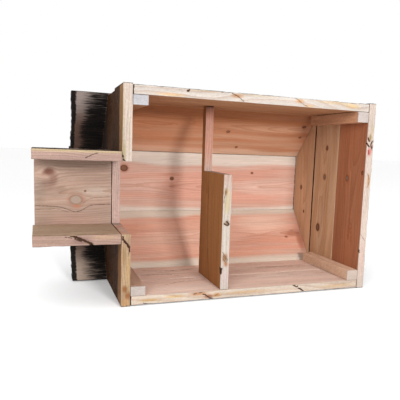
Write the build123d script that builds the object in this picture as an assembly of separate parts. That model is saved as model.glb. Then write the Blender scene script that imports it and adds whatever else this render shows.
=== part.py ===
from build123d import *
import os

os.makedirs("parts", exist_ok=True)

# A timber ground shelter for small garden wildlife: a box with no floor, an entrance tunnel, a
# partition that splits it into a lobby and a nest room, and a roof that lifts off.
#
# The shelter lies on its right wall, so its left wall is uppermost, its open base faces -Y and its
# roof is towards +Y. House coordinates, in millimetres:
#   x runs from the outer face of the front wall towards the rear wall,
#   y runs from the rim of the open base towards the roof,
#   z runs from the outer face of the right wall up to the outer face of the left wall.

# The box
house_length = 668.0
house_width = 500.0
board = 22.0
wall_depth = 260.0
base_course = 132.0
end_wall_proud = 2.0
lintel_short = 4.0

# The roof
ridge_depth = 380.0
right_seam = 170.0
left_seam = 350.0
front_overhang = 92.0
rear_overhang = 25.0
gable_gap = 3.0
seat_gap = 0.3

# The entrance tunnel
tunnel_length = 186.0
tunnel_roof_setback = 4.0
tunnel_board = 24.0
entrance_low = 168.0
entrance_high = 330.0
entrance_depth = 162.0

# The partition and its doorway
partition_x = 241.0
partition_depth = 175.0
doorway_low = 306.0
doorway_depth = 151.0

# The corner battens
batten_depth = 242.0
front_batten_width = 35.0
front_batten_thickness = 23.0
rear_batten_width = 34.0
rear_batten_thickness = 28.0

# The screws
head_radius = 4.2
head_rim = 0.6
head_height = 3.4
shank_radius = 2.2
point_length = 6.0
head_recess = 0.5
short_screw = 42.0
long_screw = 55.0

# Where the row frame has its origin: the middle of the bottom of the whole object's box
frame_shift = Pos(
    -(house_length + rear_overhang - tunnel_length) / 2,
    -(ridge_depth + board + seat_gap) / 2,
    end_wall_proud,
)


def save(name, *solids):
    """Write one named piece, or one group of like pieces, in the row frame."""
    placed = [frame_shift * solid for solid in solids]
    export_step(placed[0] if len(placed) == 1 else Compound(children=placed), f"parts/{name}.step")


def block(x, y, z):
    """A square-cut board between two x, two y and two z values."""
    low_corner = (Align.MIN, Align.MIN, Align.MIN)
    return Pos(x[0], y[0], z[0]) * Box(x[1] - x[0], y[1] - y[0], z[1] - z[0], align=low_corner)


def profile_board(outline, x):
    """A board with a (y, z) outline that runs between two x values."""
    face = Plane.YZ * Polygon(*outline, align=None)
    return Pos(x[0], 0, 0) * extrude(face, amount=x[1] - x[0], dir=(1, 0, 0))


# ---------------------------------------------------------------- the line of the roof

# The roof boards' inner faces follow three straight lines: up the left slope, across under the
# ridge board and down the right slope. Each slope starts at a wall's inner edge at the eaves.
left_inner_wall = house_width - board
right_inner_wall = board
left_fall = (left_inner_wall - left_seam) / (ridge_depth - wall_depth)
right_rise = (right_seam - right_inner_wall) / (ridge_depth - wall_depth)


def left_slope_z(y):
    """The z of the left slope's inner face at a given y."""
    return left_inner_wall - left_fall * (y - wall_depth)


def right_slope_z(y):
    """The z of the right slope's inner face at a given y."""
    return right_inner_wall + right_rise * (y - wall_depth)


# Where each slope's inner face comes out at a wall's outer face: the walls are planed to it.
left_eaves_y = wall_depth - board / left_fall
right_eaves_y = wall_depth - board / right_rise


# ---------------------------------------------------------------- the walls

def side_wall_boards():
    """The left and right walls: two courses each, between the end walls, planed at the eaves."""
    x = (board, house_length - board)
    for side, outer, inner, eaves_y in (
        ("left", house_width, left_inner_wall, left_eaves_y),
        ("right", 0, right_inner_wall, right_eaves_y),
    ):
        save(f"{side}_wall_base_board", block(x, (0, base_course), sorted((outer, inner))))
        eaves = [(base_course, inner), (wall_depth, inner), (eaves_y, outer), (base_course, outer)]
        save(f"{side}_wall_eaves_board", profile_board(eaves, x))


def end_wall_eaves_outline(left_end):
    """The (y, z) outline of an end wall's upper course, cornered to the two slopes."""
    right_end = -end_wall_proud
    left_corner_y = wall_depth - (left_end - left_inner_wall) / left_fall
    right_corner_y = wall_depth - (right_inner_wall - right_end) / right_rise
    return [
        (base_course, right_end),
        (right_corner_y, right_end),
        (wall_depth, right_inner_wall),
        (wall_depth, left_inner_wall),
        (left_corner_y, left_end),
        (base_course, left_end),
    ]


def rear_wall_boards():
    """The rear wall: two full-width courses that cover the side walls' ends."""
    x = (house_length - board, house_length)
    z = (-end_wall_proud, house_width + end_wall_proud)
    save("rear_wall_base_board", block(x, (0, base_course), z))
    save("rear_wall_eaves_board", profile_board(end_wall_eaves_outline(z[1]), x))


def front_wall_boards():
    """The front wall: a short board each side of the entrance and a notched lintel over it."""
    x = (0, board)
    y = (0, base_course)
    save("front_wall_base_board_right", block(x, y, (-end_wall_proud, entrance_low)))
    save("front_wall_base_board_left", block(x, y, (entrance_high, house_width + end_wall_proud)))
    lintel = profile_board(end_wall_eaves_outline(house_width - lintel_short), x)
    notch = block(x, (base_course, entrance_depth), (entrance_low, entrance_high))
    save("front_wall_lintel_board", lintel - notch)


def corner_battens():
    """A square batten in each corner, which the wall boards are screwed to."""
    front_x = (board, board + front_batten_width)
    rear_x = (house_length - board - rear_batten_width, house_length - board)
    for end, x, thickness in (
        ("front", front_x, front_batten_thickness),
        ("rear", rear_x, rear_batten_thickness),
    ):
        left_z = (left_inner_wall - thickness, left_inner_wall)
        right_z = (right_inner_wall, right_inner_wall + thickness)
        save(f"{end}_left_batten", block(x, (0, batten_depth), left_z))
        save(f"{end}_right_batten", block(x, (0, batten_depth), right_z))


def partition():
    """One upright board across the box, cut away beside the left wall for the inner doorway."""
    x = (partition_x, partition_x + board)
    outline = [
        (0, right_inner_wall),
        (partition_depth, right_inner_wall),
        (partition_depth, left_inner_wall),
        (doorway_depth, left_inner_wall),
        (doorway_depth, doorway_low),
        (0, doorway_low),
    ]
    save("partition_board", profile_board(outline, x))


# ---------------------------------------------------------------- the entrance tunnel

def tunnel_boards():
    """Two side boards butted to the front wall, and a board over them that roofs the tunnel."""
    side_x = (-tunnel_length, 0)
    roof_x = (-tunnel_length + tunnel_roof_setback, 0)
    y = (0, entrance_depth)
    left_z = (entrance_high, entrance_high + tunnel_board)
    right_z = (entrance_low - tunnel_board, entrance_low)
    save("tunnel_left_board", block(side_x, y, left_z))
    save("tunnel_right_board", block(side_x, y, right_z))
    roof_y = (entrance_depth, entrance_depth + board)
    save("tunnel_roof_board", block(roof_x, roof_y, (right_z[0], left_z[1])))


# ---------------------------------------------------------------- the roof

def slope_outer_y(fall):
    """How far in y a slope's outer face stands from its inner face, for its fall in z per y."""
    return board * (1 + fall**2) ** 0.5 / fall


def roof_boards():
    """Three boards mitred along the two upper seams and trimmed flush with the side walls."""
    x = (-front_overhang, house_length + rear_overhang)
    ridge_outer = ridge_depth + board
    left_outer = slope_outer_y(left_fall)
    right_outer = slope_outer_y(right_rise)
    left_mitre = (ridge_outer, left_slope_z(ridge_outer - left_outer))
    right_mitre = (ridge_outer, right_slope_z(ridge_outer - right_outer))
    left = [
        (left_eaves_y, house_width),
        (ridge_depth, left_seam),
        left_mitre,
        (left_eaves_y + left_outer, house_width),
    ]
    ridge = [(ridge_depth, left_seam), (ridge_depth, right_seam), right_mitre, left_mitre]
    right = [
        (ridge_depth, right_seam),
        (right_eaves_y, 0),
        (right_eaves_y + right_outer, 0),
        right_mitre,
    ]
    for name, outline in (("left", left), ("ridge", ridge), ("right", right)):
        save(f"roof_{name}_board", Pos(0, seat_gap, 0) * profile_board(outline, x))


def gables():
    """The board under each end of the roof that closes it and holds its three boards together."""
    foot = wall_depth + gable_gap
    outline = [
        (foot, right_slope_z(foot)),
        (ridge_depth, right_seam),
        (ridge_depth, left_seam),
        (foot, left_slope_z(foot)),
    ]
    front_x = (0, board)
    rear_x = (house_length - board, house_length)
    save("front_gable_board", Pos(0, seat_gap, 0) * profile_board(outline, front_x))
    save("rear_gable_board", Pos(0, seat_gap, 0) * profile_board(outline, rear_x))


# ---------------------------------------------------------------- the screws

def screw(x, y, z, direction, length):
    """A countersunk wood screw, sunk a little below the face it is driven into."""
    profile = [
        (0, head_recess),
        (head_radius, head_recess),
        (head_radius, head_recess + head_rim),
        (shank_radius, head_recess + head_height),
        (shank_radius, length - point_length),
        (0, length),
    ]
    turned = revolve(Plane.XZ * Polygon(*profile, align=None), axis=Axis.Z)
    return Plane(origin=(x, y, z), z_dir=direction) * turned


def side_wall_screws():
    """Through each side wall into the two battens behind it, two to a course at each end."""
    depths = (30, 104, 160, 216)
    ends = (board + front_batten_width / 2, house_length - board - rear_batten_width / 2)
    for side, face, direction in (("left", house_width, (0, 0, -1)), ("right", 0, (0, 0, 1))):
        screws = [screw(x, y, face, direction, short_screw) for x in ends for y in depths]
        save(f"{side}_wall_screws", *screws)


def end_wall_screws():
    """Through each end wall into the battens, two to a course at each side."""
    depths = (50, 84, 182, 200)
    for end, face, direction, thickness in (
        ("front", 0, (1, 0, 0), front_batten_thickness),
        ("rear", house_length, (-1, 0, 0), rear_batten_thickness),
    ):
        heights = (right_inner_wall + thickness / 2, left_inner_wall - thickness / 2)
        screws = [screw(face, y, z, direction, short_screw) for z in heights for y in depths]
        save(f"{end}_wall_screws", *screws)


def partition_screws():
    """Two through the right wall into the partition's foot, one through the left wall."""
    x = partition_x + board / 2
    strip_middle = (doorway_depth + partition_depth) / 2
    save(
        "partition_screws",
        screw(x, 45, 0, (0, 0, 1), long_screw),
        screw(x, 105, 0, (0, 0, 1), long_screw),
        screw(x, strip_middle, house_width, (0, 0, -1), long_screw),
    )


def tunnel_screws():
    """From inside the front wall into the tunnel boards' ends, and down through its roof."""
    right_middle = entrance_low - tunnel_board / 2
    left_middle = entrance_high + tunnel_board / 2
    outwards = (-1, 0, 0)
    middles = (right_middle, left_middle)
    ends = [screw(board, y, z, outwards, long_screw) for z in middles for y in (40, 100)]
    roof_y = entrance_depth + board / 2
    ends += [screw(board, roof_y, z, outwards, long_screw) for z in (200, 300)]
    save("tunnel_end_screws", *ends)
    top = entrance_depth + board
    rows = (-30, -90, -150)
    down = [screw(x, top, z, (0, -1, 0), long_screw) for z in middles for x in rows]
    save("tunnel_roof_screws", *down)


def roof_screws():
    """Through each roof board, square to its face, into the edges of the two gables."""
    gable_middles = (board / 2, house_length - board / 2)
    along_slope = (0.3, 0.8)
    top = ridge_depth + board + seat_gap
    ridge = [screw(x, top, z, (0, -1, 0), long_screw) for x in gable_middles for z in (215, 305)]
    save("roof_ridge_screws", *ridge)
    for side, slope_z, fall, inwards in (
        ("left", left_slope_z, left_fall, -1),
        ("right", right_slope_z, right_rise, 1),
    ):
        root = (1 + fall**2) ** 0.5
        square_in = (0, -fall / root, inwards / root)
        screws = []
        for share in along_slope:
            y = wall_depth + share * (ridge_depth - wall_depth)
            head_y = y - board * square_in[1] + seat_gap
            head_z = slope_z(y) - board * square_in[2]
            screws += [screw(x, head_y, head_z, square_in, long_screw) for x in gable_middles]
        save(f"roof_{side}_screws", *screws)


side_wall_boards()
rear_wall_boards()
front_wall_boards()
corner_battens()
partition()
tunnel_boards()
roof_boards()
gables()
side_wall_screws()
end_wall_screws()
partition_screws()
tunnel_screws()
roof_screws()
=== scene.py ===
import bpy
import numpy as np
from math import radians
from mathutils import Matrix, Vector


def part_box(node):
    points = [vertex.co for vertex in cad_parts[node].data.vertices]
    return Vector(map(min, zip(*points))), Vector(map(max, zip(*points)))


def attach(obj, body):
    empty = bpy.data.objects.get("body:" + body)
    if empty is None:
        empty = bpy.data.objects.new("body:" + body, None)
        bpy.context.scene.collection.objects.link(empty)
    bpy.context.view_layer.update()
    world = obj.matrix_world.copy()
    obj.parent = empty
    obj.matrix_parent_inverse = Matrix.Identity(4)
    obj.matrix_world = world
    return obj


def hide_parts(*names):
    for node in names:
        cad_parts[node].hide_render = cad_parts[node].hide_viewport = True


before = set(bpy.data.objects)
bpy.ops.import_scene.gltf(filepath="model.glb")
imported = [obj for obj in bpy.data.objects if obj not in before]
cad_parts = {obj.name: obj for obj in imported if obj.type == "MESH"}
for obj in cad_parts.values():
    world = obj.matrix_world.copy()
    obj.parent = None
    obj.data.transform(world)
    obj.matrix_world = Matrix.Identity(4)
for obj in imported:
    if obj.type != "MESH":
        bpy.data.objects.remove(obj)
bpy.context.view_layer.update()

# ------------------------------------------------------------------ the camera
# The shelter is looked at from in front of its open base and a little to the left, about 1.3 m
# away, so that both the entrance tunnel and the inside of the rear wall show.

eye = bpy.data.cameras.new("eye")
eye.lens = 43.66
eye.sensor_width = 36
eye.shift_x = -0.0755
eye.shift_y = 0.0279
camera = bpy.data.objects.new("camera", eye)
camera.location = (-0.4259, -1.2861, 0.3666)
camera.rotation_euler = (radians(82.818), radians(-2.219), radians(-21.459))
bpy.context.scene.collection.objects.link(camera)
bpy.context.scene.camera = camera

# ------------------------------------------------------------------ the floor and the light
# A white studio floor under a white sky. The key lamp stands in front and a little above, so the
# upper wall shades the slope behind it, and a broad fill lamp stands higher, on the tunnel's side.

bpy.context.scene.view_settings.view_transform = "Standard"

white_floor = bpy.data.materials.new("white_floor")
white_floor.use_nodes = True
floor_shader = white_floor.node_tree.nodes["Principled BSDF"]
floor_shader.inputs["Base Color"].default_value = (0.96, 0.96, 0.96, 1)
floor_shader.inputs["Roughness"].default_value = 0.9
floor_mesh = bpy.data.meshes.new("studio_floor")
floor_mesh.from_pydata([(-30, -30, 0), (30, -30, 0), (30, 30, 0), (-30, 30, 0)], [], [(0, 1, 2, 3)])
floor_mesh.materials.append(white_floor)
studio_floor = bpy.data.objects.new("studio_floor", floor_mesh)
bpy.context.scene.collection.objects.link(studio_floor)

sky = bpy.data.worlds.new("white_sky")
sky.use_nodes = True
sky.node_tree.nodes["Background"].inputs["Color"].default_value = (1, 1, 1, 1)
sky.node_tree.nodes["Background"].inputs["Strength"].default_value = 1.0
bpy.context.scene.world = sky


def lamp(name, place, turn, width, height, power):
    """A rectangular soft lamp at a place, turned from pointing straight down."""
    light = bpy.data.lights.new(name, "AREA")
    light.shape = "RECTANGLE"
    light.size = width
    light.size_y = height
    light.energy = power
    holder = bpy.data.objects.new(name, light)
    holder.location = place
    holder.rotation_euler = [radians(angle) for angle in turn]
    bpy.context.scene.collection.objects.link(holder)


lamp("key_lamp", (0.39, -3.13, 0.81), (80, 0, 7), 0.6, 0.3, 90)
lamp("fill_lamp", (-1.8, -2.2, 1.25), (70, 0, -39), 1.4, 1.0, 42)

# ------------------------------------------------------------------ the side walls
# Two courses of rough-sawn softwood each, screwed to the corner battens between the end walls. The
# eaves boards are planed along their outer edge to the slope of the roof that sits on them. Growth
# rings run along every board and bend round its knots, and a flame scorched the outside black.


def linear(colour):
    """Screen colour to linear light: the power law of the sRGB curve, with its straight foot."""
    c = np.asarray(colour, float) / 255
    return np.where(c <= 0.04045, c / 12.92, ((c + 0.055) / 1.055) ** 2.4)


def smooth(x):
    """0 below 0, 1 above 1, and 3x^2 - 2x^3 between."""
    x = np.clip(x, 0, 1)
    return x * x * (3 - 2 * x)


def swell(x, y, seed):
    """A smooth random field from -1 to 1: the mean of plane waves with random headings and phases."""
    waves = 7
    draw = np.random.default_rng(seed)
    heading = draw.uniform(0, 2 * np.pi, waves)
    pitch = draw.uniform(0.6, 2.2, waves)
    phase = draw.uniform(0, 2 * np.pi, waves)
    total = 0
    for h, k, p in zip(heading, pitch, phase):
        total = total + np.sin(2 * np.pi * k * (x * np.cos(h) + y * np.sin(h)) + p)
    return total / waves**0.5 / 1.5


def stations(length, step, edge, ramps=(), fine=()):
    """Places along one side of a board: a regular step, three more inside each rounded edge, a run of
    them through each ramp, where the outline jumps, and one each 1.2 mm through a fine stretch."""
    fine_step, closest = 0.0012, 0.0003
    near = edge * np.array([0, 0.3, 0.65, 1])
    fixed = np.concatenate([near, length - near, *(np.linspace(*ramp) for ramp in ramps)])
    free = [np.linspace(edge, length - edge, max(int(round(length / step)), 2))]
    free += [np.arange(max(start, edge), min(end, length - edge), fine_step) for start, end in fine]
    free = np.sort(np.concatenate(free))
    free = free[np.concatenate([[True], np.diff(free) > closest])]
    free = free[np.abs(free[:, None] - fixed).min(1) > closest]
    return np.unique(np.concatenate([fixed, free]))


def stroke_mask(x, y, path, width, seed):
    """1 along the middle of a drawn line and 0 beyond its half width, by the distance to the nearest
    of its segments. The line is a cubic through its points, and its width wavers."""
    points = np.array(path, float)
    if len(points) > 2:
        before, after = 2 * points[0] - points[1], 2 * points[-1] - points[-2]
        ends = np.vstack([before, points, after])
        p0, p1, p2, p3 = (ends[i:len(ends) - 3 + i][:, None] for i in range(4))
        t = np.linspace(0, 1, 6, endpoint=False)[None, :, None]
        cubic = 2 * p1 + (p2 - p0) * t + (2 * p0 - 5 * p1 + 4 * p2 - p3) * t**2
        cubic = (cubic + (3 * p1 - p0 - 3 * p2 + p3) * t**3) / 2
        points = np.vstack([cubic.reshape(-1, 2), points[-1:]])
    nearest = np.full(x.shape, 1e9)
    for start, end in zip(points[:-1], points[1:]):
        run = end - start
        share = np.clip(((x - start[0]) * run[0] + (y - start[1]) * run[1]) / (run @ run), 0, 1)
        off = np.hypot(x - start[0] - share * run[0], y - start[1] - share * run[1])
        nearest = np.minimum(nearest, off)
    nearest = nearest / (1 + 0.35 * swell(x * 90, y * 90, seed))
    return 1 - smooth((nearest / (width / 2) - 0.6) / 0.6)


def lattice_skin(a, b, c):
    """The skin of a lattice of stations, as three arrays of places and an array of quads. Each side
    of the brick is a grid of two parameters, and the sides share the points along their edges."""
    na, nb, nc = len(a), len(b), len(c)
    number = np.arange(na * nb * nc).reshape(na, nb, nc)

    def quads(grid, flip):
        p, q, r, s = grid[:-1, :-1], grid[1:, :-1], grid[1:, 1:], grid[:-1, 1:]
        order = (p, s, r, q) if flip else (p, q, r, s)
        return np.stack(order, -1).reshape(-1, 4)

    faces = np.concatenate([
        quads(number[0], True), quads(number[-1], False),
        quads(number[:, 0], False), quads(number[:, -1], True),
        quads(number[:, :, 0], True), quads(number[:, :, -1], False),
    ])
    used, faces = np.unique(faces, return_inverse=True)
    i, j, k = np.unravel_index(used, (na, nb, nc))
    return a[i], b[j], c[k], faces.reshape(-1, 4)


def round_over(p, size, radius):
    """Rounds a brick's edges: each point is pulled to the nearest point of the brick shrunk by the
    radius, then pushed out from it by the radius. Gives the new points and the outward normals."""
    core = np.clip(p, radius, size - radius)
    away = p - core
    normal = away / np.linalg.norm(away, axis=1, keepdims=True)
    return core + radius * normal, normal


def flow_round_knots(a, b, knots):
    """Grain lines pass a knot as a stream passes a post: the across value is pulled towards the
    knot's middle by its offset times the radius squared over the distance squared. Also gives how
    far inside a knot each point is, from 0 at its rim to 1, and that knot's darkness. A knot with
    no darkness lies under the face, and only bends the grain."""
    bent = b.copy()
    nearness = np.full_like(a, -1.0)
    darkness = np.full_like(a, 0.5)
    for along, across, radius, dark in knots:
        da = (a - along) * 0.8
        db = b - across
        distance = np.hypot(da, db)
        bent -= db * radius**2 / np.maximum(distance, radius) ** 2 * 0.85
        if dark is not None:
            darkness = np.where(distance < 2 * radius, dark, darkness)
            nearness = np.maximum(nearness, 1 - distance / radius)
    return bent, nearness, darkness


def write_board(name, points, faces, grain, marks, tint, material):
    """Puts a finished board's arrays into a mesh, with its three surface attributes."""
    mesh = bpy.data.meshes.new(name)
    mesh.from_pydata(points, [], faces)
    mesh.update()
    for label, kind, values in (
        ("grain", "FLOAT_VECTOR", grain),
        ("marks", "FLOAT_VECTOR", marks),
        ("tint", "FLOAT_COLOR", tint),
    ):
        layer = mesh.attributes.new(label, kind, "POINT")
        key = "color" if kind == "FLOAT_COLOR" else "vector"
        layer.data.foreach_set(key, np.ascontiguousarray(values, np.float32).ravel())
    mesh.polygons.foreach_set("use_smooth", np.ones(len(faces), bool))
    mesh.materials.append(material)
    piece = bpy.data.objects.new(name, mesh)
    bpy.context.scene.collection.objects.link(piece)
    return piece


board_thickness = 0.022
edge_band = 0.0022


def dye(tint, share, colour):
    """Moves a tint towards a colour by a share of the way."""
    return tint + (linear(colour) - tint) * share[:, None]


def flame_reach(a, b, c, size, lips, raw_rim):
    """Where the flame reached, from 0 to 1, face by face. It comes an edge band's width round each
    edge. The ends' char comes as far as the two lips onto the inner face, and the outer face's char
    keeps as far as raw_rim off the low edge."""
    length, width, depth = size
    fade = 0.0015
    near_low_edge = b < 0.004
    low_edge = smooth((edge_band - b) / fade)
    high_edge = smooth((b - width + edge_band) / fade)
    off_inner_face = smooth((c - 0.003) / 0.003)
    return {
        "outer": smooth((c - depth + 0.0020) / fade) * smooth((b - raw_rim) / 0.04 + 1),
        "low_end": smooth((np.where(near_low_edge, edge_band, lips[0]) - a) / fade),
        "high_end": smooth((a - length + np.where(near_low_edge, edge_band, lips[1])) / fade),
        "low_edge": low_edge,
        "high_edge": high_edge,
        "low_seam": low_edge * off_inner_face,
        "high_seam": high_edge * off_inner_face,
    }


def overhang_wear(a, b, c, width, overhang, worn, seed):
    """The low end's overhang: where it is, its char, its bleached wood, and how deep weather ate its
    end. The char is whole at the tip, and grows again towards the wall as one minus an exponential
    of the distance. The depth eases from the first worn value at the eaves to the second."""
    inwards = b / width
    uneven = 0.006 * swell(a * 0, b * 14, seed + 8) + 0.004 * swell(a * 0, b * 45, seed + 9)
    under = smooth((overhang - a) / 0.001)
    tip = smooth((0.015 + uneven * 0.3 - a) / 0.004)
    fade = 0.036 - 0.025 * smooth(inwards / 0.45)
    back = 0.14 + 0.86 * (1 - np.exp(-np.maximum(a - 0.026 - uneven, 0) / fade))
    bleached = under * (1 - tip) * (1 - 0.95 * smooth((inwards - 0.12) / 0.48))
    eaten = worn[0] + (worn[1] - worn[0]) * smooth(inwards / 0.5)
    eaten = eaten + 0.001 * (swell(b * 11, b * 0, seed + 11) + swell(b * 42, c * 9, seed + 12))
    eaten = np.maximum(eaten, 0) * smooth((0.022 - a) / 0.022)
    return under, under * np.maximum(tip, back), bleached, eaten


def lie_in_box(a, b, c, box, along, across, outer):
    """Lays a board's length, width and depth along the axes of its box. Gives the points, and
    whether that turned it inside out: the determinant of the three directions is then negative."""
    thick = 3 - along - across
    points = np.zeros((len(a), 3))
    points[:, along] = box[0][along] + a
    points[:, across] = box[0][across] + b
    points[:, thick] = box[0][thick] + c if outer > 0 else box[1][thick] - c
    turned = np.zeros((3, 3))
    turned[0, along] = turned[1, across] = 1
    turned[2, thick] = outer
    return points, np.linalg.det(turned) < 0


def lie_in_section(a, b, c, start, corners):
    """Lays a board along X, with b and c as shares of the way between the corners of its section, in
    straight lines. Gives the points, and whether that turned it inside out."""
    b, c = b[:, None], c[:, None]
    spot = (corners[0] * (1 - b) + corners[1] * b) * (1 - c)
    spot += (corners[3] * (1 - b) + corners[2] * b) * c
    run, out_of_face = corners[1] - corners[0], corners[3] - corners[0]
    return np.column_stack([start + a, spot]), run[0] * out_of_face[1] - run[1] * out_of_face[0] < 0


def board(
    node, body, material, along, across, outer, heart, sap, seed,
    step=0.004, thick_step=0.004, edge=0.0016, pith=(0.5, 0.05), lean=(0.0, 0.02),
    heart_radius=0.07, banding=0.5, low=None, high=None, ramps=(), section=None,
    knots=(), strokes=(), tones=(), rim_tint=None, rim_tones=(), end_tint=None, outer_tint=None,
    char_faces=("outer",), lips=(edge_band, edge_band), raw_rim=0.0,
    overhang=0.0, bleach=(118, 100, 92), worn=(0.001, 0.003),
):
    """One board in the space of its CAD node. It is worked out along its own length a, width b and
    depth c, with c from its inner face to its weathered one.

    along, across: the axes (0, 1, 2) of its length and width; the third is its thickness.
    outer: +1 if the weathered side is at the high end of the thickness axis, else -1.
    heart, sap: the colours of its wood, and banding is how much the sap's streaks the heart.
    pith, lean, heart_radius: the growth rings are circles about the pith, at a share of the width
    and a depth behind the inner face, which leans along the board; the heart ends at the radius.
    low, high: the near and far edge at places along the board, as shares of the width; ramps are
    the stretches where they jump.
    section: for a board that isn't square-cut, four (y, z) corners: low inner, high inner, high
    outer, low outer.
    knots: (along, across, radius, darkness). strokes: (face, path, width, depth) of a crack.
    tones: (place, reach, colour, strength) on the inner face, and rim_tones on the low edge.
    rim_tint, end_tint, outer_tint: the colours of the low edge, low end and outer face.
    char_faces, lips, raw_rim: what the flame reached, as flame_reach has them.
    overhang, worn: the low end's overhang, as overhang_wear has them; bleach is its wood's colour."""
    box = [np.array(corner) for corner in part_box(node)]
    length, width, depth = (box[1] - box[0])[[along, across, 3 - along - across]]
    if section is not None:
        corners = np.array(section)
        width = np.linalg.norm(corners[1] - corners[0])
        depth = board_thickness
    size = np.array([length, width, depth])
    fine_a = [(k[0] - 1.5 * k[2], k[0] + 1.5 * k[2]) for k in knots]
    fine_b = [(k[1] - 1.4 * k[2], k[1] + 1.4 * k[2]) for k in knots]
    for face, path, line_width, deep in strokes:
        reach_a, reach_b = np.array(path).T
        if face == "rim" or np.ptp(reach_b) > 0.3 * np.ptp(reach_a):
            fine_a.append((reach_a.min() - line_width, reach_a.max() + line_width))
        if face == "inner" and np.ptp(reach_a) > 0.3 * np.ptp(reach_b):
            fine_b.append((reach_b.min() - line_width, reach_b.max() + line_width))
    a, b, c, faces = lattice_skin(
        stations(length, step, edge, ramps, fine_a),
        stations(width, step, edge, (), fine_b),
        stations(depth, thick_step, edge),
    )
    rounded, normal = round_over(np.column_stack([a, b, c]), size, edge)
    a, b, c = rounded.T

    # The saw left the faces slightly uneven, and the edges a little worn. All of it is cut inwards.
    dent = 0.00025 * (1 + swell(a * 9, b * 9 + c * 30, seed))
    dent += 0.0002 * (1 + swell(a * 60, b * 60 + c * 90, seed + 1))
    if section is not None:
        dent *= 1 - 0.8 * np.abs(normal[:, 1])

    # The flame chars the faces it reached all over, and burns the outer one into soft ridges. Char
    # over 1 is the heaviest, and was brushed back to brown in streaks.
    heaviest = 1.3
    reach = flame_reach(a, b, c, size, lips, raw_rim)
    char = np.zeros_like(a)
    for face in char_faces:
        char = np.maximum(char, reach[face] * heaviest)
    under = bleached = np.zeros_like(a)
    if overhang:
        under, tip_char, bleached, eaten = overhang_wear(a, b, c, width, overhang, worn, seed)
        char = np.maximum(char, tip_char)
        rounded[:, 0] += eaten
    ridges = 0.5 + 0.5 * np.sin(2 * np.pi * (b / 0.0065 + 1.6 * swell(a * 5, b * 12, seed + 2)))
    ridges = ridges * (0.5 + 0.5 * swell(a * 14, b * 50, seed + 3) ** 2)
    dent += np.where(normal[:, 2] > 0.5, 0.0010 * ridges * char, 0)

    # Cracks, bark pockets and knots are hollows in the rim and in the inner face.
    split = np.zeros_like(a)
    for face, path, line_width, deep in strokes:
        if face == "rim":
            mask = stroke_mask(a, c, path, line_width, seed) * smooth((0.009 - b) / 0.004)
        else:
            mask = stroke_mask(a, b, path, line_width, seed) * smooth((0.006 - c) / 0.004)
        split = np.maximum(split, mask * min(0.45 + deep * 500, 1))
        dent += deep * mask
    for knot_a, knot_b, radius, _ in knots:
        distance = np.hypot((a - knot_a) * 0.8, b - knot_b) / radius
        dent += 0.0005 * smooth(1.25 - distance) * smooth(1 - c / 0.006)
    a, b, c = (rounded - normal * np.maximum(dent, 0)[:, None]).T

    # The wood's own colour: heart and sap by the distance from the pith, then the local tones.
    from_low_edge = b
    if low is not None:
        share_low = np.interp(a, *low)
        share_high = np.interp(a, *high)
        b = (share_low + (share_high - share_low) * b / width) * width
    bent, knot, darkness = flow_round_knots(a, b, knots)
    pith_b = pith[0] * width + lean[0] * a + 0.006 * swell(a * 1.7, a * 0, seed + 4)
    pith_c = -pith[1] + lean[1] * a + 0.004 * swell(a * 2.1, a * 0, seed + 5)
    ring = np.hypot(bent - pith_b, c - pith_c) + 0.0012 * swell(a * 4, b * 9, seed + 6)
    offset = (seed % 17) * 0.31
    grain = np.column_stack([a + offset, ring, bent + offset])
    sapness = smooth((ring + 0.004 * swell(a * 3, b * 8, seed + 7) - heart_radius) / 0.016 + 0.5)
    paleness = banding * smooth(0.42 + 0.75 * swell(a * 1.3, ring * 30, seed + 10))

    on_rim = smooth((edge_band - from_low_edge) / 0.0012)
    tint = dye(np.tile(linear(heart), (len(a), 1)), np.maximum(sapness, paleness), sap)
    tint = dye(dye(tint, under, (88, 66, 56)), bleached, bleach)
    if outer_tint is not None:
        tint = dye(tint, smooth((c - depth + 0.002) / 0.0015), outer_tint)
    for (pa, pb), (ra, rb), colour, strength in tones:
        near = smooth(1.3 - np.hypot((a - pa) / ra, (b - pb) / rb))
        tint = dye(tint, near * strength * (1 - under) * smooth((0.006 - c) / 0.003), colour)
    if rim_tint is not None:
        tint = dye(tint, on_rim, rim_tint)
    for (pa, pc), (ra, rc), colour, strength in rim_tones:
        near = smooth(1.3 - np.hypot((a - pa) / ra, (c - pc) / rc))
        tint = dye(tint, near * strength * on_rim, colour)
    if end_tint is not None:
        tint = dye(tint, smooth((edge_band - a) / 0.0012), end_tint)
    weather = 1 + 0.07 * on_rim * np.random.default_rng(seed).normal(size=len(a))
    tint = np.clip(tint * weather[:, None], 0, 1)

    if section is None:
        points, inside_out = lie_in_box(a, b, c, box, along, across, outer)
    else:
        points, inside_out = lie_in_section(a, b / width, c / depth, box[0][0], corners)
    if inside_out:
        faces = faces[:, ::-1]
    marks = np.column_stack([knot, char, split])
    colours = np.column_stack([tint, darkness])
    piece = write_board(node + "_timber", points, faces, grain, marks, colours, material)
    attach(piece, body)
    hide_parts(node)


def add(tree, kind, **settings):
    """Add a shader node. A setting named in<number> fills that input; others are properties."""
    node = tree.nodes.new(kind)
    for name, value in settings.items():
        if name.startswith("in"):
            node.inputs[int(name[2:])].default_value = value
        else:
            setattr(node, name, value)
    return node


def group_of(name, inputs, outputs):
    """An empty shader node group with its sockets, its input node and its output node."""
    tree = bpy.data.node_groups.new(name, "ShaderNodeTree")
    for label, kind in inputs:
        tree.interface.new_socket(label, in_out="INPUT", socket_type=kind)
    for label, kind in outputs:
        tree.interface.new_socket(label, in_out="OUTPUT", socket_type=kind)
    return tree, tree.nodes.new("NodeGroupInput"), tree.nodes.new("NodeGroupOutput")


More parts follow.
